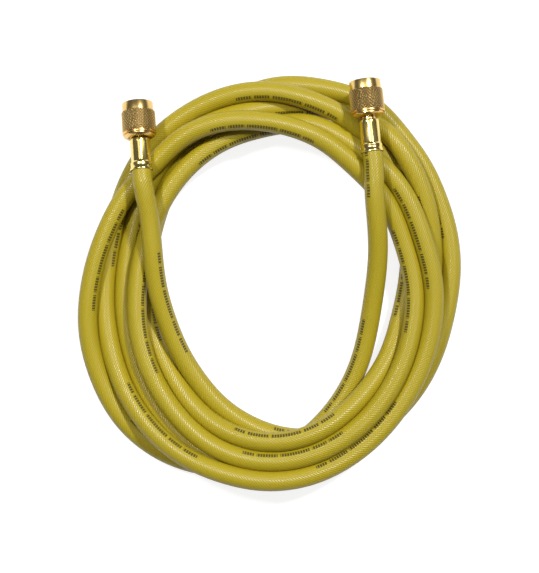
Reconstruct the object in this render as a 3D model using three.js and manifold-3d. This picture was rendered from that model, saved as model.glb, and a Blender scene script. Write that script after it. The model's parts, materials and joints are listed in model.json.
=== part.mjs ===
// Refrigerant charging hose, rolled into a loose coil that lies flat, with a brass swivel coupler
// crimped on each end. Millimetres, +Z up. The origin is on the ground under the middle of the coil.
// Each coupler is drawn upright on its own +Y axis, from the ferrule's bell mouth (0) to the nut's
// mouth, and then laid in place on top of the coil.
import * as THREE from "three";
import { mergeVertices } from "three/addons/utils/BufferGeometryUtils.js";
import Module from "manifold-3d";

// Driving dimensions
const HOSE = {
  diameter: 10, // outside, over the braid and cover
  crimped: 8, // outside, squeezed by the ferrule
  sides: 12,
};
const CLEARANCE = 0.3; // between pieces that touch
const RUNNING = 0.35; // between the nut and the stem that it turns on

const COIL = {
  width: 193.6, // outer size across, left to right
  length: 210.4, // outer size, near to far
  band: 30, // from the opening to the outer edge, at the sides
  height: 16, // two layers of hose, bedded into each other
  cornerRadius: 7.6,
  cornerSteps: 4,
  roundSteps: 64,
};

const FERRULE = {
  length: 16.4,
  wall: 0.65,
  bellWall: 0.45,
  bellRim: 1.1, // straight rim of the bell
  bellLength: 3,
  lip: 1.5, // end wall, closed in on the stem's neck
  crimpFlats: 8, // one for each jaw of the crimping die
  crimpDepth: 0.17,
  crimpFrom: 4.2, // from the bell mouth to the jaws' marks
  crimpLength: 10.3,
  edge: 0.5,
};

const STEM = {
  bore: 3.2,
  root: 4.2, // barbed tail, between the barbs
  barb: 5,
  barbs: 4,
  barbPitch: 2.6,
  tailStart: 1.2, // from the bell mouth
  shoulderLength: 0.8,
  neck: 7,
  play: 1.5, // how far the nut can slide before its wall meets the head
  head: 9.8,
  headLength: 3.6,
  seatDiameter: 6.6,
  seatDepth: 1.2,
};

const NUT = {
  length: 18.3,
  side: 0.4, // from the stem's head to the bore
  wall: 2.55, // round the bore, at the plain band by the mouth
  rearWall: 3.9, // holds the nut on the stem's head
  lip: 2.45, // flat rear face, outside the neck's hole
  lipRise: 1.6, // chamfer, from the rear face out to the rim
  chamfer: 1.1,
  grooveDepth: 0.4,
  grooveWidth: 0.8,
  beadRise: 0.95, // out from the groove
  beadWidth: 1.1,
  knurlRise: 0.75, // out from the plain band
  knurlWidth: 10.6,
  knurlEdge: 0.5,
  mouthChamfer: 0.4,
  boreChamfer: 0.5,
};

const GASKET = { inset: 0.2, inner: 4.6, thickness: 2.2, crown: 0.5 };
const DEPRESSOR = { wall: 0.55, length: 2.4, web: 0.8, pin: 1.5, pinLength: 4.6 };

// Where the hose comes out of each bell mouth: in from the coil's outer edges, and above its top.
// The right nut has slid forward on its stem, and the left one back against its ferrule.
const LEFT = { side: -1, fromSide: 33.4, fromFar: 50, above: 11.6, lean: 4.6, droop: 11, slid: 0 };
const RIGHT = { side: 1, fromSide: 45.3, fromFar: 40.8, above: 12, lean: 5.8, droop: 5, slid: 1.2 };

// Free ends of the hose, from the bell mouth to where they go in among the turns
const LEFT_ROUTE = [
  [-61.8, 40.6, 29.2],
  [-61.0, 31.6, 27.2],
  [-60.0, 22.4, 23.6],
  [-59.0, 12.9, 18.8],
  [-57.9, 3.3, 13.2],
  [-56.1, -6.4, 9.2],
  [-53.9, -14.4, 6.8],
  [-50.3, -24.3, 5.4],
  [-45.3, -36.4, 5.2],
  [-38.4, -47.6, 5.2],
  [-28.4, -60.6, 5.2],
  [-16.0, -69.6, 5.2],
];
const RIGHT_ROUTE = [
  [54.0, 42.6, 28.3],
  [54.9, 31.8, 23.4],
  [55.4, 21.2, 16.6],
  [55.3, 11.0, 10.6],
  [54.4, 0.6, 7.0],
  [53.0, -9.4, 5.4],
  [50.9, -22.4, 5.2],
  [48.2, -34.9, 5.2],
  [44.2, -46.6, 5.2],
  [38.6, -57.4, 5.2],
  [31.0, -68.0, 5.2],
];
const TUBE_STEP = 24; // distance between sections of the free ends
const ROUND_STEPS = 36; // facets round each turned piece

// Sizes that follow from those above
const hoseRadius = HOSE.diameter / 2;
const crimpedRadius = HOSE.crimped / 2;
const neckRadius = STEM.neck / 2;
const headRadius = STEM.head / 2;
const barbRadius = STEM.barb / 2;
const ferruleRadius = crimpedRadius + CLEARANCE + FERRULE.wall;
const shoulderEnd = FERRULE.length - FERRULE.lip - CLEARANCE;
const shoulderStart = shoulderEnd - STEM.shoulderLength;
const nutStart = FERRULE.length + CLEARANCE;
const headStart = nutStart + NUT.rearWall + STEM.play;
const headEnd = headStart + STEM.headLength;
const gasketStart = headEnd + CLEARANCE;

const wasm = await Module();
wasm.setup();

// Materials
const yellowHose = new THREE.MeshStandardMaterial({ color: 0xb3a21c, roughness: 0.45 });
const polishedBrass = new THREE.MeshStandardMaterial({
  color: 0xd9b45b,
  roughness: 0.2,
  metalness: 1,
});
const turnedBrass = new THREE.MeshStandardMaterial({
  color: 0xb08a42,
  roughness: 0.35,
  metalness: 1,
});
const blackRubber = new THREE.MeshStandardMaterial({ color: 0x1c1c1c, roughness: 0.8 });

// Joining and cutting of closed meshes
function solid(geometry) {
  const bare = geometry.index ? geometry.toNonIndexed() : geometry.clone();
  bare.deleteAttribute("normal");
  bare.deleteAttribute("uv");
  const merged = mergeVertices(bare, 1e-4);
  return new wasm.Manifold(
    new wasm.Mesh({
      numProp: 3,
      vertProperties: merged.attributes.position.array,
      triVerts: new Uint32Array(merged.index.array),
    }),
  );
}

function geometryOf(body) {
  const { vertProperties, triVerts } = body.getMesh();
  const geometry = new THREE.BufferGeometry();
  geometry.setAttribute("position", new THREE.BufferAttribute(vertProperties, 3));
  geometry.setIndex(new THREE.BufferAttribute(triVerts, 1));
  geometry.computeVertexNormals();
  return geometry;
}

// A turned piece: its outline as [radius, height] pairs, counter-clockwise, closed on itself
function turned(outline, steps = ROUND_STEPS) {
  const points = [...outline, outline[0]].map(([radius, height]) => new THREE.Vector2(radius, height));
  return new THREE.LatheGeometry(points, steps);
}

function piece(name, geometry, material) {
  const mesh = new THREE.Mesh(geometry, material);
  mesh.name = name;
  return mesh;
}

// Coil: an oval ring with flat faces and rounded shoulders, grown by `gap` for the cut beside it
function coilGeometry(gap = 0) {
  const outer = COIL.width / 2 + gap;
  const inner = COIL.width / 2 - COIL.band - gap;
  const bottom = -gap;
  const top = COIL.height + gap;
  const radius = Math.min(COIL.cornerRadius, COIL.height / 2 - CLEARANCE);
  const corners = [
    [outer - radius, bottom + radius, -90],
    [outer - radius, top - radius, 0],
    [inner + radius, top - radius, 90],
    [inner + radius, bottom + radius, 180],
  ];
  const outline = corners.flatMap(([x, y, from]) =>
    Array.from({ length: COIL.cornerSteps + 1 }, (_, step) => {
      const angle = THREE.MathUtils.degToRad(from + (90 * step) / COIL.cornerSteps);
      return [x + radius * Math.cos(angle), y + radius * Math.sin(angle)];
    }),
  );
  return turned(outline, COIL.roundSteps)
    .rotateX(Math.PI / 2)
    .scale(1, COIL.length / COIL.width, 1);
}

// Hose end: the squeezed and bored stretch inside the ferrule, on the coupler's axis
function crimpedHoseEnd() {
  const tip = shoulderStart - CLEARANCE;
  const boreRadius = barbRadius + CLEARANCE;
  const boreStart = STEM.tailStart - 2 * CLEARANCE;
  const outside = turned([
    [0, -1],
    [hoseRadius, -1],
    [hoseRadius, 0],
    [crimpedRadius, FERRULE.bellLength],
    [crimpedRadius, tip - 0.4],
    [crimpedRadius - 0.4, tip],
    [0, tip],
  ]);
  const bore = turned([
    [0, boreStart],
    [boreRadius, boreStart],
    [boreRadius, tip + 1],
    [0, tip + 1],
  ]);
  return { outside, bore };
}

// Free end of the hose: a tube from the coupler down among the turns, ended on the coil's face
function hoseEnd(coupler, route) {
  const { matrix: frame, position: mouth } = placed(coupler);
  const axis = new THREE.Vector3(0, 1, 0).transformDirection(frame);
  const points = [
    mouth.clone().addScaledVector(axis, -0.5),
    mouth.clone().addScaledVector(axis, -hoseRadius),
    ...route.map((point) => new THREE.Vector3(...point)),
  ];
  const path = new THREE.CatmullRomCurve3(points, false, "centripetal");
  const section = new THREE.Shape(
    Array.from({ length: HOSE.sides }, (_, side) => {
      const angle = (2 * Math.PI * side) / HOSE.sides;
      return new THREE.Vector2(hoseRadius * Math.cos(angle), hoseRadius * Math.sin(angle));
    }),
  );
  const tube = new THREE.ExtrudeGeometry(section, {
    steps: Math.round(path.getLength() / TUBE_STEP) * 2,
    extrudePath: path,
    bevelEnabled: false,
  });
  const { outside, bore } = crimpedHoseEnd();
  const joined = solid(tube)
    .add(solid(outside.applyMatrix4(frame)))
    .subtract(solid(bore.applyMatrix4(frame)))
    .subtract(solid(coilGeometry(CLEARANCE)));
  const [body] = joined.decompose().sort((a, b) => b.volume() - a.volume());
  return geometryOf(body);
}

// Ferrule: a tube with a flared bell, an end wall closed on the neck and flats left by the jaws
function ferruleGeometry() {
  const inside = crimpedRadius + CLEARANCE;
  const mouth = hoseRadius + CLEARANCE;
  const bell = mouth + FERRULE.bellWall;
  const neck = neckRadius + CLEARANCE;
  const end = FERRULE.length;
  const body = turned([
    [mouth, 0],
    [bell - 0.2, 0],
    [bell, 0.2],
    [bell, FERRULE.bellRim],
    [(bell + 2 * ferruleRadius) / 3, (FERRULE.bellRim + 2 * FERRULE.bellLength) / 3],
    [ferruleRadius, FERRULE.bellLength],
    [ferruleRadius, end - FERRULE.edge],
    [ferruleRadius - FERRULE.edge / 3, end - FERRULE.edge / 3],
    [ferruleRadius - FERRULE.edge, end],
    [neck, end],
    [neck, end - FERRULE.lip],
    [inside, end - FERRULE.lip],
    [inside, FERRULE.bellLength],
  ]);
  const jaw = new THREE.BoxGeometry(FERRULE.crimpDepth * 2, FERRULE.crimpLength, 2 * ferruleRadius);
  jaw.translate(ferruleRadius, FERRULE.crimpFrom + FERRULE.crimpLength / 2, 0);
  let crimped = solid(body);
  for (let flat = 0; flat < FERRULE.crimpFlats; flat += 1) {
    const turn = (2 * Math.PI * (flat + 0.5)) / FERRULE.crimpFlats;
    crimped = crimped.subtract(solid(jaw.clone().rotateY(turn)));
  }
  return geometryOf(crimped);
}

// Stem: barbed tail inside the hose, shoulder and neck in the ferrule, seat head inside the nut
function stemGeometry() {
  const bore = STEM.bore / 2;
  const root = STEM.root / 2;
  const barbs = Array.from({ length: STEM.barbs }, (_, index) => {
    const start = STEM.tailStart + index * STEM.barbPitch;
    return [
      [root, start],
      [barbRadius, start + STEM.barbPitch * 0.8],
      [root, start + STEM.barbPitch * 0.85],
    ];
  }).flat();
  return turned([
    [bore, STEM.tailStart],
    ...barbs,
    [root, shoulderStart],
    [crimpedRadius, shoulderStart],
    [crimpedRadius, shoulderEnd],
    [neckRadius, shoulderEnd],
    [neckRadius, headStart],
    [headRadius, headStart + 0.5],
    [headRadius, headEnd],
    [STEM.seatDiameter / 2, headEnd],
    [bore, headEnd - STEM.seatDepth],
  ]);
}

// Nut: rear lip, groove, bead, knurled grip and plain band, bored from the mouth
function nutGeometry(slid) {
  const neck = neckRadius + RUNNING;
  const bore = headRadius + NUT.side;
  const band = bore + NUT.wall;
  const knurl = band + NUT.knurlRise;
  const lip = neck + NUT.lip;
  const rim = lip + NUT.lipRise;
  const groove = rim - NUT.grooveDepth;
  const bead = groove + NUT.beadRise;
  const grooveEnd = NUT.chamfer + NUT.grooveWidth;
  const beadEnd = grooveEnd + NUT.beadWidth;
  const knurlEnd = beadEnd + NUT.knurlWidth;
  const end = NUT.length;
  const outline = [
    [neck, 0],
    [lip, 0],
    [rim, NUT.chamfer],
    [groove, NUT.chamfer + 0.2],
    [groove, grooveEnd],
    [bead - 0.15, grooveEnd + 0.1],
    [bead, (grooveEnd + beadEnd) / 2],
    [bead - 0.15, beadEnd - 0.1],
    [knurl - NUT.knurlEdge, beadEnd],
    [knurl, beadEnd + NUT.knurlEdge],
    [knurl, knurlEnd - NUT.knurlEdge],
    [knurl - NUT.knurlEdge, knurlEnd],
    [band, knurlEnd + 0.2],
    [band, end - NUT.mouthChamfer],
    [band - NUT.mouthChamfer, end],
    [bore + NUT.boreChamfer, end],
    [bore, end - NUT.boreChamfer],
    [bore, NUT.rearWall],
    [neck, NUT.rearWall],
  ];
  return turned(outline.map(([radius, height]) => [radius, height + nutStart + slid]));
}

// Gasket: a rubber washer with a crowned face, bedded on the stem's head
function gasketGeometry() {
  const end = gasketStart + GASKET.thickness;
  const outer = headRadius - GASKET.inset;
  const inner = GASKET.inner / 2;
  return turned([
    [inner, gasketStart],
    [outer, gasketStart],
    [outer, end - GASKET.crown],
    [outer - GASKET.crown, end - GASKET.crown / 3],
    [(outer + inner) / 2, end],
    [inner, end - GASKET.crown],
  ]);
}

// Depressor: a short sleeve in the gasket with a web across it and a pin that opens a valve core
function depressorGeometry() {
  const outer = GASKET.inner / 2 - CLEARANCE;
  const inner = outer - DEPRESSOR.wall;
  const sleeve = turned([
    [inner, gasketStart],
    [outer, gasketStart],
    [outer, gasketStart + DEPRESSOR.length],
    [inner, gasketStart + DEPRESSOR.length],
  ]);
  const web = new THREE.BoxGeometry(2 * inner + DEPRESSOR.wall, DEPRESSOR.length, DEPRESSOR.web);
  const pin = new THREE.CylinderGeometry(
    DEPRESSOR.pin / 2,
    DEPRESSOR.pin / 2,
    DEPRESSOR.pinLength,
    ROUND_STEPS / 2,
  );
  return geometryOf(
    solid(sleeve)
      .add(solid(web.translate(0, gasketStart + DEPRESSOR.length / 2, 0)))
      .add(solid(pin.translate(0, gasketStart + DEPRESSOR.pinLength / 2, 0))),
  );
}

// A group turned from upright to lying: leaning left of +Y and drooping towards the nut's mouth
function placed({ side, fromSide, fromFar, above, lean, droop }) {
  const group = new THREE.Group();
  group.position.set(
    side * (COIL.width / 2 - fromSide),
    COIL.length / 2 - fromFar,
    COIL.height + above,
  );
  group.rotation.order = "ZXY";
  group.rotation.z = THREE.MathUtils.degToRad(lean);
  group.rotation.x = THREE.MathUtils.degToRad(-droop);
  group.updateMatrix();
  return group;
}

function couplerOf(side, place, hasDepressor) {
  const group = placed(place);
  group.add(piece(`${side}_ferrule`, ferruleGeometry(), polishedBrass));
  group.add(piece(`${side}_stem`, stemGeometry(), turnedBrass));
  group.add(piece(`${side}_nut`, nutGeometry(place.slid), turnedBrass));
  group.add(piece(`${side}_gasket`, gasketGeometry(), blackRubber));
  if (hasDepressor) group.add(piece(`${side}_depressor`, depressorGeometry(), turnedBrass));
  return group;
}

const chargingHose = new THREE.Group();
chargingHose.add(piece("hose_coil", coilGeometry(), yellowHose));
chargingHose.add(piece("hose_left_end", hoseEnd(LEFT, LEFT_ROUTE), yellowHose));
chargingHose.add(piece("hose_right_end", hoseEnd(RIGHT, RIGHT_ROUTE), yellowHose));
chargingHose.add(couplerOf("left", LEFT, false));
chargingHose.add(couplerOf("right", RIGHT, true));

export default chargingHose;
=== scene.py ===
"""Refrigerant charging hose in a loose flat coil, with a brass swivel coupler on each end.

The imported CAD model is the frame. The hose settles under its own weight on the floor and on its
own turns. Each coupler is turned about the axis of its nut's joint. Lengths are in metres.
"""

import json
import math

import bmesh
import bpy
import numpy as np
from bpy.props import FloatProperty, FloatVectorProperty, IntProperty, PointerProperty
from mathutils import Matrix, Vector


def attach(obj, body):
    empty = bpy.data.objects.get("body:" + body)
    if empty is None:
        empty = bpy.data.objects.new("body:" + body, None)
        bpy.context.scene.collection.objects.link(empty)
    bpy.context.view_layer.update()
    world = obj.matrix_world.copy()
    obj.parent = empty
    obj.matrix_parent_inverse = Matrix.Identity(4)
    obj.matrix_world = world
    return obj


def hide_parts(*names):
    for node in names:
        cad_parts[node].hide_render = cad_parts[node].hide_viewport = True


bl_info = {
    "name": "Charging hose",
    "version": (1, 0, 0),
    "blender": (4, 5, 0),
    "location": "3D View > Sidebar > Charging hose",
    "description": "Builds a coiled charging hose with knurled brass couplers",
    "category": "Object",
}

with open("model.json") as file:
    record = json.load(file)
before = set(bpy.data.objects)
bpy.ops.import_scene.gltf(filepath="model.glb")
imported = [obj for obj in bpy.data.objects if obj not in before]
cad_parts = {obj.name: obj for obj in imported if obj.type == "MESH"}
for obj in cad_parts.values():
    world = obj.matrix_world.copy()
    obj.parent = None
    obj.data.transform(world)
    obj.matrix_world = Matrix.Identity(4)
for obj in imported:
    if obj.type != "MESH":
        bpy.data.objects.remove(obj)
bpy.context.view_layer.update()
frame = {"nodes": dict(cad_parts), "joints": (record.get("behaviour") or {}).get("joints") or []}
JOINTS = {joint["name"]: joint for joint in frame["joints"]}
MM = 0.001

# The free ends of the hose, from the bell mouth to where they go in among the turns, as in
# part.mjs
LEFT_END = [
    (-0.0618, 0.0406, 0.0292),
    (-0.0610, 0.0316, 0.0272),
    (-0.0600, 0.0224, 0.0236),
    (-0.0590, 0.0129, 0.0188),
    (-0.0579, 0.0033, 0.0132),
    (-0.0561, -0.0064, 0.0092),
    (-0.0539, -0.0144, 0.0068),
    (-0.0503, -0.0243, 0.0054),
    (-0.0453, -0.0364, 0.0052),
    (-0.0384, -0.0476, 0.0052),
    (-0.0284, -0.0606, 0.0052),
    (-0.0160, -0.0696, 0.0052),
]
RIGHT_END = [
    (0.0540, 0.0426, 0.0283),
    (0.0549, 0.0318, 0.0234),
    (0.0554, 0.0212, 0.0166),
    (0.0553, 0.0110, 0.0106),
    (0.0544, 0.0006, 0.0070),
    (0.0530, -0.0094, 0.0054),
    (0.0509, -0.0224, 0.0052),
    (0.0482, -0.0349, 0.0052),
    (0.0442, -0.0466, 0.0052),
    (0.0386, -0.0574, 0.0052),
    (0.0310, -0.0680, 0.0052),
]

# The turns in between: millimetres from the coil's centre, every 20 degrees, one row a turn,
# anticlockwise from just past the left free end, with the layer that each lies in, 0 on the floor
COIL_CENTRE = Vector((0.0077, -0.0008, 0))
FIRST_ANGLE = 260
ANGLE_STEP = 20
TURN_RADII = [
    [75.5, 80, 78.5, 74.5, 72.5, 75.5, 80, 87, 92.5, 91, 89, 90, 87.5, 82, 81.5, 84.5, 90, 95.5],
    [97, 94, 88.5, 86, 84, 84, 87, 92.5, 98, 101, 98, 85, 77, 72.5, 70.5, 72, 74, 79.5],
    [82.5, 78.5, 71.5, 66, 62, 63, 68, 77, 86.5, 93.5, 99, 99, 94.5, 90.5, 91, 94.5, 99, 102],
    [101, 97.5, 91, 83.5, 79, 76, 74, 76.5, 78.5, 82, 80, 78, 75.5, 73.5, 74.5, 78.5, 83.5, 89],
    [92, 88.5, 81.5, 75, 69.5, 66, 64.5, 66.5, 70.5, 77, 84, 90, 91.5, 93.5, 98.5, 103.5, 107.5,
     104],
    [93.5, 78],
]
TURN_LAYERS = [
    [0.5, 1, 1, 1, 1, 1, 1.5, 1.5, 1.5, 1, 1, 1.5, 1, 1, 1, 1, 1, 1],
    [1, 1, 0.5, 0, 0, 0, 0, 0, 0, 0, 0, 0, 0, 0, 0, 0.5, 1, 1.5],
    [2, 2.5, 2, 1, 0, 0, 0, 0, 1.5, 2, 2, 2, 1, 0, 0, 1, 1.5, 2],
    [2, 2, 2, 2, 2, 2, 2, 1, 1, 0, 0, 0.5, 1, 1.5, 2, 2, 2, 2],
    [2, 2, 2, 2, 1.5, 1.5, 2, 1, 1, 1.5, 2, 3, 2, 1, 1, 0.5, 0, 0],
    [0, 0],
]

# Print on the hose: millimetres from the start of a line to each group's start and end, the pitch
# of the dashes and the share of it that is black, and where they run and half how wide they are,
# in turns from the outer side over the bottom
DASH_GROUPS = [(0, 5.7), (7.1, 18.4), (19.8, 35.3), (36.7, 45.1), (46.5, 55)]
DASH_PITCH = 1.41
DASH_SHARE = 0.74
PRINT_TURN = 0.633
PRINT_HALF_WIDTH = 0.03
PRINT_STRENGTH = 0.85  # less than 1, as it is worn

# Grain of the braid in the cover
GRAIN_HEIGHT = 0.1 * MM
# Painted shade: the cover's colour is darker down between two grains, by this share
VALLEY_PAINTED_SHADE = 0.66  # of the cover's colour, between two grains

# Couplers, in millimetres, with places counted from the bell mouth
FERRULE_LENGTH = 16.4
FERRULE_RADIUS = 5.5  # between its body's and its bell's
FERRULE_STEPS = 96
NUT_START = 16.7
NUT_LENGTH = 18.3
KNURL_RADIUS = 8.6
BORE_RADIUS = 5.3
THREAD_DEPTH = 0.6
HELD_DEPTH = 2  # of the hose's end in the ferrule
ON_RADIUS = 0.01  # a vertex as near as this to a radius lies on it

# Other
MERGE_DISTANCE = 1e-7
MIX_A, MIX_B, MIX_RESULT = 6, 7, 2  # a Mix node's sockets for colours

# Camera, straight above the coil
CAMERA_HEIGHT = 0.8
VIEW_CENTRE = Vector((0.00026, -0.00255, 0))
VIEW_LEVEL = 0.010  # the middle of the coil's depth
VIEW_HEIGHT = 0.2922  # what the picture takes in from top to bottom, at that level

# White floor
FLOOR_REACH = 1.5  # from its middle to its edges
FLOOR_GLOW = 0.85  # to the camera and in reflections, so that it is as white as in the photo

# How the hose settles. Lengths are in hose diameters.
POINT_SPACING = 0.3
HELD_POINTS = 4  # at each end, in line with the coupler
OWN_POINTS = 16  # at each end, that no coupler pushes, as they come out of their own one
SETTLE_STEPS = 900
SEARCH_EVERY = 8  # steps between two searches for stretches that lie close together
SEARCH_REACH = 1.45
SEARCH_APART = 1.6  # along the hose: nearer points are the same stretch
SINK = 0.002  # added to the downward speed in each step
SPEED_KEPT = 0.9  # from one step to the next
SPEED_KEPT_AT_CONTACT = 0.3
ROUTE_PULL = 0.05  # share of the way back to the route that the photo shows
CONTACT_PUSH = 1.6  # over 1, as a point's pushes are averaged
CROSSING = 0.8  # nearer than this as seen from above, one stretch lies on the other
COUPLER_SHOULDER = 9  # points over which a coupler's push fades out on both sides
STIFFNESS = 0.4
CLOSING_PASSES = 8  # of stiffness alone, once it has settled


# Properties


class HoseSettings(bpy.types.PropertyGroup):
    diameter: FloatProperty(
        name="Diameter", description="Outside, over the cover", default=0.010, unit="LENGTH"
    )
    length: FloatProperty(
        name="Length", description="Between the bell mouths", default=3.05, unit="LENGTH"
    )
    sides: IntProperty(name="Sides", description="Facets round the hose", default=32, min=8)
    # A little coarser than the real 1.2 mm, so that the grains stay apart in a small picture
    weave: FloatProperty(
        name="Weave",
        description="Pitch of the braid's grain in the cover",
        default=0.0015,
        unit="LENGTH",
    )
    print_period: FloatProperty(
        name="Print period",
        description="From one printed line to the next",
        default=0.1184,
        unit="LENGTH",
    )
    print_start: FloatProperty(
        name="Print start",
        description="From the left ferrule to a printed line",
        default=0.0435,
        unit="LENGTH",
    )
    colour: FloatVectorProperty(
        name="Colour",
        description="Colour of the cover",
        subtype="COLOR",
        default=(0.5, 0.39, 0.014),
    )


class CouplerSettings(bpy.types.PropertyGroup):
    # A little coarser than the real 1.2 mm, so that the diamonds stay apart in a small picture
    knurl_pitch: FloatProperty(
        name="Knurl pitch",
        description="Across one diamond of the grip",
        default=0.0017,
        unit="LENGTH",
    )
    knurl_depth: FloatProperty(
        name="Knurl depth", description="Of the grooves in the grip", default=0.0004, unit="LENGTH"
    )
    thread_pitch: FloatProperty(
        name="Thread pitch", description="20 threads to the inch", default=0.00127, unit="LENGTH"
    )
    left_slide: FloatProperty(
        name="Left slide", description="Of the left nut along its stem", default=0, unit="LENGTH"
    )
    right_slide: FloatProperty(
        name="Right slide",
        description="Of the right nut along its stem",
        default=0.0012,
        unit="LENGTH",
    )
    steps: IntProperty(name="Steps", description="Facets round each nut", default=324, min=48)


class StageSettings(bpy.types.PropertyGroup):
    sunlight: FloatProperty(
        name="Sunlight", description="Strength of the small, far light", default=2.1
    )
    panel_power: FloatProperty(
        name="Panel", description="Power of the long soft panel", default=2.4, unit="POWER"
    )
    spot_power: FloatProperty(
        name="Spot",
        description="Power of the small lamp on the left",
        default=4.8,
        unit="POWER",
    )
    fill: FloatProperty(name="Fill", description="Strength of the surroundings", default=0.12)


# Helpers


def linear(code):
    """An sRGB hex colour as linear red, green, blue and alpha."""
    channels = [int(code[i : i + 2], 16) / 255 for i in (1, 3, 5)]
    return [c / 12.92 if c <= 0.04045 else ((c + 0.055) / 1.055) ** 2.4 for c in channels] + [1.0]


def add_node(tree, kind, links=None, **settings):
    """Adds a node. Settings are its properties, with its inputs' values in inputs. links maps an
    input to the socket that feeds it."""
    node = tree.nodes.new(kind)
    inputs = settings.pop("inputs", {})
    for name, value in settings.items():
        setattr(node, name, value)
    for name, value in inputs.items():
        node.inputs[name].default_value = value
    for name, socket in (links or {}).items():
        tree.links.new(socket, node.inputs[name])
    return node


def new_material(name):
    """An empty material, and its node tree."""
    material = bpy.data.materials.new(name)
    material.use_nodes = True
    material.node_tree.nodes.clear()
    return material, material.node_tree


def finish_material(tree, shader):
    """Links the shader to a material output."""
    output = add_node(tree, "ShaderNodeOutputMaterial")
    tree.links.new(shader.outputs[0], output.inputs["Surface"])


def new_object(name, bm, material, sharp=35):
    """The bmesh as an object with that material, smooth up to an angle in degrees."""
    mesh = bpy.data.meshes.new(name)
    bm.to_mesh(mesh)
    bm.free()
    mesh.shade_smooth()
    mesh.set_sharp_from_angle(angle=math.radians(sharp))
    mesh.materials.append(material)
    piece = bpy.data.objects.new(name, mesh)
    bpy.context.scene.collection.objects.link(piece)
    return piece


# Route of the hose


def coupler_matrix(side):
    """Place of a coupler: origin in the bell mouth, +Y down, +Z along it to the nut's mouth."""
    joint = JOINTS[f"{side}_nut_swivel"]
    along = Vector(joint["axis"]).normalized()
    across = along.cross(Vector((0, 0, 1))).normalized()
    down = along.cross(across)
    matrix = Matrix((across, down, along)).transposed().to_4x4()
    matrix.translation = Vector(joint["pos_m"])
    return matrix


def turn_points():
    """Points of the rolled-up part, from its radii and layers."""
    diameter = bpy.context.scene.charging_hose.diameter
    points = []
    angle = FIRST_ANGLE
    for radii, layers in zip(TURN_RADII, TURN_LAYERS):
        for radius, layer in zip(radii, layers):
            turn = math.radians(angle)
            rise = diameter * (0.5 + layer)
            offset = Vector((math.cos(turn), math.sin(turn), 0)) * radius * MM
            points.append(COIL_CENTRE + offset + Vector((0, 0, rise)))
            angle += ANGLE_STEP
    return points


def smooth_line(points, count):
    """A natural cubic spline through the points, as that many points evenly along it."""
    points = np.array(points, float)
    gaps = np.linalg.norm(np.diff(points, axis=0), axis=1)
    at = np.concatenate([[0], np.cumsum(gaps)])
    size = len(points)
    matrix = np.eye(size)
    right = np.zeros((size, 3))
    slopes = np.diff(points, axis=0) / gaps[:, None]
    for i in range(1, size - 1):
        matrix[i, i - 1 : i + 2] = gaps[i - 1], 2 * (gaps[i - 1] + gaps[i]), gaps[i]
        right[i] = 6 * (slopes[i] - slopes[i - 1])
    bend = np.linalg.solve(matrix, right)
    where = np.linspace(0, at[-1], 8 * count)
    k = np.clip(np.searchsorted(at, where) - 1, 0, size - 2)
    u = (where - at[k])[:, None]
    gap = gaps[k][:, None]
    line = (
        points[k]
        + u * (slopes[k] - gap * (2 * bend[k] + bend[k + 1]) / 6)
        + u**2 * bend[k] / 2
        + u**3 * (bend[k + 1] - bend[k]) / (6 * gap)
    )
    return evenly(line, count)


def evenly(line, count):
    """The same line with its points the same distance apart."""
    at = np.concatenate([[0], np.cumsum(np.linalg.norm(np.diff(line, axis=0), axis=1))])
    where = np.linspace(0, at[-1], count)
    return np.stack([np.interp(where, at, line[:, axis]) for axis in range(3)], axis=1)


def rough_route():
    """The whole route as listed, from inside the left ferrule to inside the right one."""
    left, right = coupler_matrix("left"), coupler_matrix("right")
    lead = 5 * MM  # of straight hose behind each bell mouth
    return (
        [left @ Vector((0, 0, HELD_DEPTH * MM)), left @ Vector((0, 0, -lead))]
        + [Vector(point) for point in LEFT_END]
        + turn_points()
        + [Vector(point) for point in reversed(RIGHT_END)]
        + [right @ Vector((0, 0, -lead)), right @ Vector((0, 0, HELD_DEPTH * MM))]
    )


def clear_coupler(line, loose, side, slide, radius):
    """Moves the loose points of the line down off a coupler, taken as two plain cylinders."""
    matrix = np.array(coupler_matrix(side))
    place = (line - matrix[:3, 3]) @ matrix[:3, :3]
    from_axis = np.hypot(place[:, 0], place[:, 1])
    nut_start = NUT_START + slide
    cylinders = (
        (0, FERRULE_LENGTH, FERRULE_RADIUS),
        (nut_start, nut_start + NUT_LENGTH, KNURL_RADIUS),
    )
    for start, end, outside in cylinders:
        reach = outside * MM + radius
        beside = (place[:, 2] > start * MM - radius) & (place[:, 2] < end * MM + radius)
        hit = loose & beside & (from_axis < reach)
        drop = np.zeros(len(line))
        drop[hit] = np.sqrt(reach**2 - place[hit, 0] ** 2) - place[hit, 1]
        shoulders = [drop]
        for away in range(1, COUPLER_SHOULDER):
            fade = (1 - (away / COUPLER_SHOULDER) ** 2) ** 2
            shoulders += [np.roll(drop, away) * fade, np.roll(drop, -away) * fade]
        line += (np.max(shoulders, axis=0) * loose)[:, None] * matrix[:3, 1]


def even_out(line, far, move):
    """Stiffness of the hose: passes each bend on to the points that far away on both sides."""
    bow = np.zeros_like(line)
    bow[far:-far] = (line[: -2 * far] + line[2 * far :]) / 2 - line[far:-far]
    change = np.zeros_like(line)
    change[2 * far : -2 * far] = (bow[far : -3 * far] + bow[3 * far : -far]) / 2
    change[2 * far : -2 * far] -= bow[2 * far : -2 * far]
    line -= STIFFNESS * change * move


def keep_length(line, free, spacing):
    """Draws neighbouring points together or apart, towards that distance from each other."""
    for start in (0, 1, 0, 1):
        a = np.arange(start, len(line) - 1, 2)
        b = a + 1
        span = line[b] - line[a]
        long = np.linalg.norm(span, axis=1)
        pull = ((long - spacing) / long / np.maximum(free[a] + free[b], 1e-9))[:, None] * span
        line[a] += pull * free[a, None]
        line[b] -= pull * free[b, None]


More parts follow.
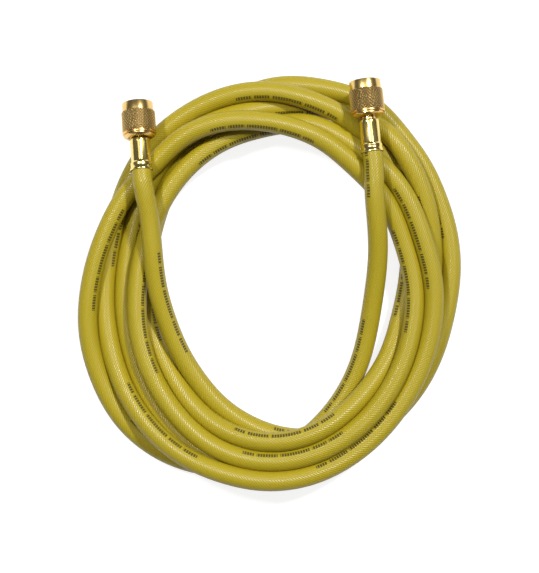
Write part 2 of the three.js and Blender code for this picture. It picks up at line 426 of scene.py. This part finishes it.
def push_apart(line, one, other, diameter, move):
    """Parts the pairs of points that lie within a diameter of each other. Where two stretches
    cross, one only goes up and the other only down."""
    span = line[other] - line[one]
    near = np.linalg.norm(span, axis=1)
    touch = near < diameter
    one, other, span, near = one[touch], other[touch], span[touch], near[touch]
    flat = np.linalg.norm(span[:, :2], axis=1)
    push = ((diameter - near) / near / 2)[:, None] * span
    crossing = flat < CROSSING * diameter
    lift = np.sqrt(np.maximum(diameter**2 - flat**2, 0)) - abs(span[:, 2])
    push[crossing, :2] = 0
    push[crossing, 2] = (np.sign(span[:, 2]) * lift / 2)[crossing]
    total = np.zeros_like(line)
    hits = np.zeros(len(line))
    for points, way in ((one, -1), (other, 1)):
        np.add.at(total, points, way * push)
        np.add.at(hits, points, 1)
    line += CONTACT_PUSH * total / np.maximum(hits, 1)[:, None] * move


def settle(line, diameter, length):
    """Lets the line sink under its weight, as a hose of that length that lies on itself."""
    count = len(line)
    spacing = length / (count - 1)
    free = np.ones(count)
    free[:HELD_POINTS] = free[-HELD_POINTS:] = 0
    move = free[:, None]
    for end, side in ((line[:HELD_POINTS], "left"), (line[: -HELD_POINTS - 1 : -1], "right")):
        depths = [HELD_DEPTH * MM - spacing * i for i in range(HELD_POINTS)]
        end[:] = [coupler_matrix(side) @ Vector((0, 0, depth)) for depth in depths]
    photo = line[:, :2].copy()
    centre = np.array(VIEW_CENTRE[:2])
    sinking = np.zeros(count)
    apart = int(SEARCH_APART * diameter / spacing) + 1
    settings = bpy.context.scene.charging_coupler
    slides = {"left": settings.left_slide / MM, "right": settings.right_slide / MM}
    loose = np.zeros(count, bool)
    loose[OWN_POINTS:-OWN_POINTS] = True
    for step in range(SETTLE_STEPS):
        if step % SEARCH_EVERY == 0:
            square = ((line[:, None] - line[None]) ** 2).sum(-1)
            one, other = np.nonzero(np.triu(square < (SEARCH_REACH * diameter) ** 2, apart))
        sinking = (sinking - SINK * diameter * free) * SPEED_KEPT
        line[:, 2] += sinking * free
        height = line[:, 2].copy()
        keep_length(line, free, spacing)
        # Short kinks are taken out in every direction, long waves only up and down
        even_out(line, 1, move)
        even_out(line, 6, move * (0, 0, 1))
        # The camera sees a higher point further out, so the route is drawn in with the height
        scale = (CAMERA_HEIGHT - line[:, 2:]) / (CAMERA_HEIGHT - VIEW_LEVEL)
        wanted = centre + (photo - centre) * scale
        line[:, :2] += ROUTE_PULL * (wanted - line[:, :2]) * move
        push_apart(line, one, other, diameter, move)
        for side, slide in slides.items():
            clear_coupler(line, loose, side, slide, diameter / 2)
        line[:, 2] = np.maximum(line[:, 2], diameter / 2)
        slowed = np.minimum(sinking, 0) * SPEED_KEPT_AT_CONTACT
        sinking = np.where(line[:, 2] > height, slowed, sinking)
    for _ in range(CLOSING_PASSES):
        even_out(line, 2, move)
    line[:, 2] = np.maximum(line[:, 2], diameter / 2)
    return line


# Materials


def braid_grain(tree, around, along):
    """Height of the braid's grain, 0 to 1: two crossing spirals, one of them stronger."""
    settings = bpy.context.scene.charging_hose
    strands = round(math.pi * settings.diameter / settings.weave)
    waves = []
    for sign, height in ((-1, 0.5), (1, 0.3)):
        turn = add_node(
            tree,
            "ShaderNodeMath",
            {0: around},
            operation="MULTIPLY",
            inputs={1: 2 * math.pi * strands * sign},
        )
        phase = add_node(
            tree,
            "ShaderNodeMath",
            {0: along, 2: turn.outputs[0]},
            operation="MULTIPLY_ADD",
            inputs={1: 2 * math.pi / settings.weave},
        )
        wave = add_node(tree, "ShaderNodeMath", {0: phase.outputs[0]}, operation="SINE")
        raised = add_node(
            tree,
            "ShaderNodeMath",
            {0: wave.outputs[0]},
            operation="MULTIPLY_ADD",
            inputs={1: height, 2: height},
        )
        waves.append(raised)
    strong, weak = waves
    return add_node(
        tree, "ShaderNodeMath", {0: strong.outputs[0], 1: weak.outputs[0]}, operation="MAXIMUM"
    )


def print_dashes(tree, around, along):
    """Where the hose is printed, 0 or 1: plain dashes in groups, on its inner, upper side."""
    settings = bpy.context.scene.charging_hose
    shift = add_node(
        tree, "ShaderNodeMath", {0: along}, operation="SUBTRACT", inputs={1: settings.print_start}
    )
    periods = add_node(
        tree,
        "ShaderNodeMath",
        {0: shift.outputs[0]},
        operation="DIVIDE",
        inputs={1: settings.print_period},
    )
    share = add_node(tree, "ShaderNodeMath", {0: periods.outputs[0]}, operation="FRACT")
    groups = add_node(tree, "ShaderNodeValToRGB", {"Fac": share.outputs[0]})
    ramp = groups.color_ramp
    ramp.interpolation = "CONSTANT"
    ramp.elements[0].color = (1, 1, 1, 1)
    ramp.elements[1].position = DASH_GROUPS[0][1] * MM / settings.print_period
    ramp.elements[1].color = (0, 0, 0, 1)
    for start, end in DASH_GROUPS[1:]:
        for place, shade in ((start, 1), (end, 0)):
            ramp.elements.new(place * MM / settings.print_period).color = (shade, shade, shade, 1)
    dashes = add_node(
        tree, "ShaderNodeMath", {0: along}, operation="DIVIDE", inputs={1: DASH_PITCH * MM}
    )
    dash = add_node(tree, "ShaderNodeMath", {0: dashes.outputs[0]}, operation="FRACT")
    mark = add_node(
        tree, "ShaderNodeMath", {0: dash.outputs[0]}, operation="LESS_THAN", inputs={1: DASH_SHARE}
    )
    row = add_node(
        tree,
        "ShaderNodeMath",
        {0: around},
        operation="COMPARE",
        inputs={1: PRINT_TURN, 2: PRINT_HALF_WIDTH},
    )
    both = add_node(
        tree, "ShaderNodeMath", {0: mark.outputs[0], 1: row.outputs[0]}, operation="MULTIPLY"
    )
    return add_node(
        tree,
        "ShaderNodeMath",
        {0: both.outputs[0], 1: groups.outputs["Color"]},
        operation="MULTIPLY",
    )


def braided_cover():
    """Extruded rubber cover: mustard yellow with a satin streak of light. The braid under it shows
    as slanting grains that break the streak up, with painted shade darkening the colour between
    them. A worn black print runs along it in dashes."""
    settings = bpy.context.scene.charging_hose
    material, tree = new_material("extruded_rubber_cover")
    place = add_node(tree, "ShaderNodeUVMap", uv_map="UVMap")
    apart = add_node(tree, "ShaderNodeSeparateXYZ", {"Vector": place.outputs["UV"]})
    around, along = apart.outputs["X"], apart.outputs["Y"]
    grain = braid_grain(tree, around, along)
    printed = print_dashes(tree, around, along)
    bump = add_node(
        tree,
        "ShaderNodeBump",
        {"Height": grain.outputs[0]},
        inputs={"Strength": 1.0, "Distance": GRAIN_HEIGHT},
    )
    # The tops of the grains are worn shiny, the valleys stay dull
    gloss = add_node(
        tree,
        "ShaderNodeMapRange",
        {"Value": grain.outputs[0]},
        inputs={"From Min": 0.3, "To Min": 0.6, "To Max": 0.2},
    )
    # Painted shade: the cover's colour darker down between the grains
    valley_painted_shade = [VALLEY_PAINTED_SHADE * channel for channel in settings.colour]
    rubber = add_node(
        tree,
        "ShaderNodeMix",
        {"Factor": grain.outputs[0]},
        data_type="RGBA",
        inputs={MIX_A: [*valley_painted_shade, 1], MIX_B: [*settings.colour, 1]},
    )
    worn = add_node(
        tree,
        "ShaderNodeMath",
        {0: printed.outputs[0]},
        operation="MULTIPLY",
        inputs={1: PRINT_STRENGTH},
    )
    colour = add_node(
        tree,
        "ShaderNodeMix",
        {"Factor": worn.outputs[0], MIX_A: rubber.outputs[MIX_RESULT]},
        data_type="RGBA",
        inputs={MIX_B: linear("#2A2414")},
    )
    shader = add_node(
        tree,
        "ShaderNodeBsdfPrincipled",
        {
            "Base Color": colour.outputs[MIX_RESULT],
            "Roughness": gloss.outputs["Result"],
            "Normal": bump.outputs["Normal"],
        },
        inputs={"IOR": 1.5},
    )
    finish_material(tree, shader)
    return material


def polished_brass():
    """Drawn brass tube, tumbled bright: pale gold with sharp streaks along it."""
    material, tree = new_material("polished_brass")
    shader = add_node(
        tree,
        "ShaderNodeBsdfPrincipled",
        inputs={"Base Color": linear("#EBD480"), "Metallic": 1.0, "Roughness": 0.18},
    )
    finish_material(tree, shader)
    return material


def turned_brass():
    """Brass bar turned on a lathe: a browner gold, with painted shade darkening it down in the
    knurl's grooves.
    """
    material, tree = new_material("turned_brass")
    # Painted shade: darker brass down in the knurl, by the depth of its grooves
    groove = add_node(tree, "ShaderNodeAttribute", attribute_name="groove")
    groove_painted_shade = add_node(
        tree,
        "ShaderNodeMapRange",
        {"Value": groove.outputs["Fac"]},
        inputs={"From Min": 0.45, "To Max": 0.9},
    )
    colour = add_node(
        tree,
        "ShaderNodeMix",
        {"Factor": groove_painted_shade.outputs["Result"]},
        data_type="RGBA",
        inputs={MIX_A: linear("#E2C078"), MIX_B: linear("#564020")},
    )
    shader = add_node(
        tree,
        "ShaderNodeBsdfPrincipled",
        {"Base Color": colour.outputs[MIX_RESULT]},
        inputs={"Metallic": 1.0, "Roughness": 0.24},
    )
    finish_material(tree, shader)
    return material


def seat_rubber():
    """Moulded nitrile rubber: black and dull."""
    material, tree = new_material("moulded_nitrile_rubber")
    shader = add_node(
        tree,
        "ShaderNodeBsdfPrincipled",
        inputs={"Base Color": linear("#222222"), "Roughness": 0.7, "IOR": 1.5},
    )
    finish_material(tree, shader)
    return material


MADE = {}  # each material, by the function that makes it


def named(maker):
    """The material that the maker makes, made once."""
    if maker not in MADE:
        MADE[maker] = maker()
    return MADE[maker]


# Pieces


def tube_along(name, line, radius, sides, material):
    """A grid rolled up round the line, with its ends closed. Its UV map has turns from the outer
    side and metres along."""
    steps = len(line) - 1
    bm = bmesh.new()
    uv = bm.loops.layers.uv.new("UVMap")
    bmesh.ops.create_grid(bm, x_segments=sides, y_segments=steps, size=0.5)
    tangents = np.gradient(line, axis=0)
    tangents /= np.linalg.norm(tangents, axis=1)[:, None]
    outward = np.cross(tangents, (0, 0, 1))
    outward /= np.linalg.norm(outward, axis=1)[:, None]
    downward = np.cross(tangents, outward)
    at = np.concatenate([[0], np.cumsum(np.linalg.norm(np.diff(line, axis=0), axis=1))])
    for face in bm.faces:
        for loop in face.loops:
            co = loop.vert.co
            row = round((co.y + 0.5) * steps)
            loop[uv].uv = (co.x + 0.5, at[row])
    for vert in bm.verts:
        row = round((vert.co.y + 0.5) * steps)
        turn = 2 * math.pi * (vert.co.x + 0.5)
        spoke = math.cos(turn) * outward[row] + math.sin(turn) * downward[row]
        vert.co = line[row] + radius * spoke
    bmesh.ops.remove_doubles(bm, verts=bm.verts, dist=MERGE_DISTANCE)
    rims = [edge for edge in bm.edges if edge.is_boundary]
    bmesh.ops.holes_fill(bm, edges=rims, sides=0)
    bmesh.ops.recalc_face_normals(bm, faces=bm.faces)
    return new_object(name, bm, material, sharp=60)


def turned(outline, steps):
    """A bmesh of a closed outline of (radius, height) pairs, spun about Z."""
    bm = bmesh.new()
    verts = [bm.verts.new((radius, 0, height)) for radius, height in outline]
    edges = [bm.edges.new((a, b)) for a, b in zip(verts, verts[1:] + verts[:1])]
    bmesh.ops.spin(
        bm,
        geom=verts + edges,
        cent=(0, 0, 0),
        axis=(0, 0, 1),
        angle=2 * math.pi,
        steps=steps,
        use_merge=True,
    )
    bmesh.ops.remove_doubles(bm, verts=bm.verts, dist=MERGE_DISTANCE)
    bmesh.ops.recalc_face_normals(bm, faces=bm.faces)
    return bm


def ferrule_bmesh():
    """Crimped ferrule, from its bell mouth at 0 to its closed end, with a flat from each jaw of
    the crimping tool."""
    body = 4.95
    flats, flat_depth = 8, 0.17
    flats_from, flats_to = 4.7, 14.1
    outline = (
        [(5.32, 0.0), (5.62, 0.0), (5.74, 0.1), (5.76, 0.35), (5.7, 0.7), (5.52, 1.2), (5.36, 1.8)]
        + [(5.3, 2.3), (5.34, 2.8), (5.42, 3.2), (5.42, 3.6), (5.3, 3.9), (5.05, 4.1), (body, 4.3)]
        + [(body, 4.8), (body, 14.0), (body, 14.6), (body, 15.6), (4.88, 15.95), (4.7, 16.22)]
        + [(4.4, 16.36), (4.0, 16.4), (3.8, 16.4), (3.8, 14.9), (4.3, 14.9), (4.3, 3.0)]
    )
    bm = turned([(radius * MM, height * MM) for radius, height in outline], FERRULE_STEPS)
    for vert in bm.verts:
        radius = math.hypot(vert.co.x, vert.co.y) / MM
        if abs(radius - body) < ON_RADIUS and flats_from < vert.co.z / MM < flats_to:
            turn = math.atan2(vert.co.y, vert.co.x) * flats / (2 * math.pi)
            angle = ((turn % 1) - 0.5) * 2 * math.pi / flats
            scale = min(1, (body - flat_depth) / math.cos(angle) / body)
            vert.co.x *= scale
            vert.co.y *= scale
    return bm


def nut_bmesh(settings, slide):
    """Knurled swivel nut, from its rear face to its mouth, slid along the stem by that much."""
    knurl_from, knurl_to = 3.25, 13.45
    thread_from, thread_to = 5.2, 17.8
    row = 0.17  # height of a row of facets, fine enough for the knurl and the thread
    knurl = [(KNURL_RADIUS, height) for height in np.arange(knurl_from, knurl_to + row / 2, row)]
    thread = [(BORE_RADIUS, height) for height in np.arange(thread_to, thread_from, -row)]
    outline = (
        [(3.85, 0.0), (6.1, 0.0), (6.35, 0.08), (7.75, 0.95), (7.9, 1.1), (7.86, 1.22), (7.5, 1.3)]
        + [(7.5, 1.85), (7.6, 1.9), (8.2, 1.95), (8.4, 2.08), (8.46, 2.4), (8.4, 2.72)]
        + [(8.2, 2.86), (7.95, 2.92), (7.95, 3.05), (8.15, 3.1)]
        + knurl
        + [(8.2, 13.6), (7.95, 13.65), (7.85, 13.75), (7.85, 17.9), (7.75, 18.18), (7.45, 18.3)]
        + [(5.85, 18.3), (5.6, 18.16)]
        + thread
        + [(BORE_RADIUS, 4.3), (5.1, 4.0), (4.9, 3.9), (3.85, 3.9)]
    )
    bm = turned([(radius * MM, height * MM) for radius, height in outline], settings.steps)
    diamonds = round(2 * math.pi * KNURL_RADIUS * MM / settings.knurl_pitch)
    # How deep each point lies in the knurl's grooves, 0 to 1, which the brass also takes for
    # painted shade
    groove = bm.verts.layers.float.new("groove")
    for vert in bm.verts:
        radius = math.hypot(vert.co.x, vert.co.y) / MM
        height = vert.co.z / MM
        turn = math.atan2(vert.co.y, vert.co.x) / (2 * math.pi)
        if abs(radius - KNURL_RADIUS) < ON_RADIUS:
            rows = height * MM / settings.knurl_pitch
            ridges = [abs(2 * ((diamonds * turn + sign * rows) % 1) - 1) for sign in (1, -1)]
            vert[groove] = 1 - min(ridges)
            depth = settings.knurl_depth / MM * vert[groove]
        elif abs(radius - BORE_RADIUS) < ON_RADIUS and thread_from <= height <= thread_to:
            wave = abs(2 * ((height * MM / settings.thread_pitch - turn) % 1) - 1)
            depth = -THREAD_DEPTH * wave
        else:
            continue
        scale = (radius - depth) / radius
        vert.co.x *= scale
        vert.co.y *= scale
    bmesh.ops.translate(bm, verts=bm.verts, vec=(0, 0, (NUT_START + slide) * MM))
    return bm


def place_piece(name, bm, side, material, body, node):
    """Moves a bmesh from the coupler's own place to the coupler, and makes it the node's piece."""
    bm.transform(coupler_matrix(side))
    piece = new_object(name, bm, material)
    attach(piece, body)
    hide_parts(node)


# Operators


class CHARGING_OT_camera(bpy.types.Operator):
    """Adds the camera, straight above the coil"""

    bl_idname = "charging.camera"
    bl_label = "Camera"

    def execute(self, context):
        data = bpy.data.cameras.new("camera")
        data.sensor_fit = "VERTICAL"
        distance = CAMERA_HEIGHT - VIEW_LEVEL
        data.lens = data.sensor_height * distance / VIEW_HEIGHT
        data.clip_start = 0.01
        camera = bpy.data.objects.new("camera", data)
        camera.location = VIEW_CENTRE + Vector((0, 0, CAMERA_HEIGHT))
        context.scene.collection.objects.link(camera)
        context.scene.camera = camera
        return {"FINISHED"}


class CHARGING_OT_hose(bpy.types.Operator):
    """Lays the hose in its coil and lets it settle"""

    bl_idname = "charging.hose"
    bl_label = "Hose"

    def execute(self, context):
        settings = context.scene.charging_hose
        count = round(settings.length / (POINT_SPACING * settings.diameter)) + 1
        line = smooth_line(rough_route(), count)
        line = settle(line, settings.diameter, settings.length)
        radius = settings.diameter / 2
        hose = tube_along("hose", line, radius, settings.sides, named(braided_cover))
        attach(hose, "hose")
        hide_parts("hose_coil", "hose_left_end", "hose_right_end")
        return {"FINISHED"}


class CHARGING_OT_ferrules(bpy.types.Operator):
    """Crimps a ferrule on each end of the hose"""

    bl_idname = "charging.ferrules"
    bl_label = "Ferrules"

    def execute(self, context):
        for side in ("left", "right"):
            bm = ferrule_bmesh()
            name = f"{side}_bell_ferrule"
            node = f"{side}_ferrule"
            place_piece(name, bm, side, named(polished_brass), "hose", node)
        return {"FINISHED"}


class CHARGING_OT_nuts(bpy.types.Operator):
    """Adds the knurled swivel nuts"""

    bl_idname = "charging.nuts"
    bl_label = "Nuts"

    def execute(self, context):
        settings = context.scene.charging_coupler
        for side, slide in (("left", settings.left_slide), ("right", settings.right_slide)):
            bm = nut_bmesh(settings, slide / MM)
            name = f"{side}_knurled_nut"
            body, node = f"{side}_nut_body", f"{side}_nut"
            place_piece(name, bm, side, named(turned_brass), body, node)
        return {"FINISHED"}


class CHARGING_OT_seats(bpy.types.Operator):
    """Finishes the stems, gaskets and depressor inside the nuts"""

    bl_idname = "charging.seats"
    bl_label = "Seats"

    def execute(self, context):
        finishes = {
            "left_stem": turned_brass,
            "right_stem": turned_brass,
            "right_depressor": turned_brass,
            "left_gasket": seat_rubber,
            "right_gasket": seat_rubber,
        }
        for node, maker in finishes.items():
            frame["nodes"][node].data.materials.clear()
            frame["nodes"][node].data.materials.append(named(maker))
        return {"FINISHED"}


class CHARGING_OT_stage(bpy.types.Operator):
    """Adds the white floor, the lamps and the surroundings"""

    bl_idname = "charging.stage"
    bl_label = "Stage"

    def execute(self, context):
        settings = context.scene.charging_stage
        material, tree = new_material("white_paper")
        paper = add_node(tree, "ShaderNodeBsdfDiffuse", inputs={"Color": linear("#A0A0A0")})
        path = add_node(tree, "ShaderNodeLightPath")
        seen = add_node(
            tree,
            "ShaderNodeMath",
            {0: path.outputs["Is Camera Ray"], 1: path.outputs["Is Glossy Ray"]},
            operation="MAXIMUM",
        )
        share = add_node(
            tree,
            "ShaderNodeMath",
            {0: seen.outputs[0]},
            operation="MULTIPLY",
            inputs={1: FLOOR_GLOW},
        )
        glow = add_node(tree, "ShaderNodeEmission", {"Strength": share.outputs[0]})
        both = add_node(tree, "ShaderNodeAddShader", {0: paper.outputs[0], 1: glow.outputs[0]})
        finish_material(tree, both)
        bm = bmesh.new()
        bmesh.ops.create_grid(bm, x_segments=1, y_segments=1, size=FLOOR_REACH)
        floor = new_object("floor", bm, material)

        sun = bpy.data.lights.new("sun", "SUN")
        sun.energy = settings.sunlight
        sun.angle = math.radians(6)
        panel = bpy.data.lights.new("panel", "AREA")
        panel.shape = "RECTANGLE"
        panel.energy = settings.panel_power
        panel.size, panel.size_y = 1.6, 0.4
        spot = bpy.data.lights.new("spot", "AREA")
        spot.energy = settings.spot_power
        spot.size = 0.1
        for light, place in (
            (sun, (0.45, 0.52, 1.0)),
            (panel, (0.0, 0.35, 0.95)),
            (spot, (-0.42, 0.3, 1.0)),
        ):
            lamp = bpy.data.objects.new(light.name, light)
            lamp.location = place
            lamp.rotation_euler = (-lamp.location).to_track_quat("-Z", "Y").to_euler()
            context.scene.collection.objects.link(lamp)

        world = bpy.data.worlds.new("white_surroundings")
        world.use_nodes = True
        world.node_tree.nodes["Background"].inputs["Color"].default_value = (1, 1, 1, 1)
        world.node_tree.nodes["Background"].inputs["Strength"].default_value = settings.fill
        context.scene.world = world
        context.scene.view_settings.view_transform = "Standard"
        return {"FINISHED"}


class CHARGING_PT_panel(bpy.types.Panel):
    """Sizes and steps of the charging hose"""

    bl_label = "Charging hose"
    bl_idname = "CHARGING_PT_panel"
    bl_space_type = "VIEW_3D"
    bl_region_type = "UI"
    bl_category = "Charging hose"

    def draw(self, context):
        scene = context.scene
        for settings in (scene.charging_hose, scene.charging_coupler, scene.charging_stage):
            for name in settings.__annotations__:
                self.layout.prop(settings, name)
        for operator in OPERATORS:
            self.layout.operator(operator.bl_idname)


SETTINGS = {
    "charging_hose": HoseSettings,
    "charging_coupler": CouplerSettings,
    "charging_stage": StageSettings,
}
OPERATORS = [
    CHARGING_OT_camera,
    CHARGING_OT_hose,
    CHARGING_OT_ferrules,
    CHARGING_OT_nuts,
    CHARGING_OT_seats,
    CHARGING_OT_stage,
]


def register():
    for kind in (*SETTINGS.values(), *OPERATORS, CHARGING_PT_panel):
        bpy.utils.register_class(kind)
    for name, group in SETTINGS.items():
        setattr(bpy.types.Scene, name, PointerProperty(type=group))


def unregister():
    for name in SETTINGS:
        delattr(bpy.types.Scene, name)
    for kind in (CHARGING_PT_panel, *reversed(OPERATORS), *reversed(list(SETTINGS.values()))):
        bpy.utils.unregister_class(kind)


def main():
    register()
    bpy.ops.charging.camera()
    bpy.ops.charging.hose()
    bpy.ops.charging.ferrules()
    bpy.ops.charging.nuts()
    bpy.ops.charging.seats()
    bpy.ops.charging.stage()


if __name__ == "__main__":
    main()
